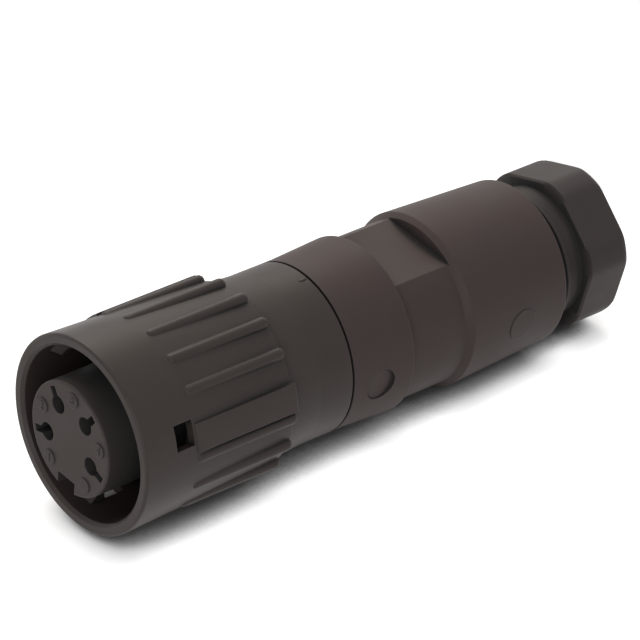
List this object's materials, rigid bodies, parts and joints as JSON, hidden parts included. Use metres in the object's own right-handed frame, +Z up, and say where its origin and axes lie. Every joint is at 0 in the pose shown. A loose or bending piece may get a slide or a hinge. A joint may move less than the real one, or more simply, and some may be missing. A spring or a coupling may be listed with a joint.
{
  "type": "circular bayonet cable connector",
  "caption": "Round plastic cable plug with a ribbed bayonet coupling ring, socket contacts in a keyed insert, a backshell with spanner flats and a hexagonal cable clamping screw.",
  "frame": {"origin": "on the plug's axis, in the plane of the coupling ring's front rim", "axes": "+X along the axis from the mating face to the cable end, +Z up as the plug lies at rest"},
  "size_m": [0.0795, 0.025, 0.025],
  "materials": {
    "shell_plastic": "satin moulded dark brown",
    "insert_plastic": "satin moulded dark brown",
    "screw_plastic": "satin moulded black",
    "barrel_plastic": "satin moulded black",
    "seal_rubber": "dull black",
    "contact_brass": "bright",
    "spring_steel": "bright"
  },
  "bodies": {
    "housing": {"barrel": "barrel_plastic", "contact_insert": "insert_plastic", "contact_retainer": "barrel_plastic", "contact_1": "contact_brass", "contact_2": "contact_brass", "contact_3": "contact_brass", "contact_4": "contact_brass", "contact_hood_1": "spring_steel", "contact_hood_2": "spring_steel", "contact_hood_3": "spring_steel", "contact_hood_4": "spring_steel", "spacer_sleeve": "barrel_plastic", "mating_seal": "seal_rubber", "barrel_oring": "seal_rubber", "wave_spring": "spring_steel", "backshell": "shell_plastic", "gland_seal": "seal_rubber"},
    "ring": {"coupling_ring": "shell_plastic"},
    "slip": {"slip_ring": "spring_steel"},
    "screw": {"clamp_screw": "screw_plastic"}
  },
  "joints": [
    {"name": "ring_turn", "type": "hinge", "parent": "housing", "child": "ring", "pos_m": [0.02, 0, 0], "axis": [-1, 0, 0], "range_deg": [0, 60]},
    {"name": "slip_slide", "type": "slide", "parent": "housing", "child": "slip", "axis": [1, 0, 0], "range_m": [-0.00181, 0.00301]},
    {"name": "screw_turn", "type": "hinge", "parent": "slip", "child": "screw", "pos_m": [0.07, 0, 0], "axis": [1, 0, 0], "range_deg": [-432, 720]}
  ],
  "couplings": [
    {"joint": "slip_slide", "follows": "screw_turn", "m_per_rad": 0.00023873}
  ]
}
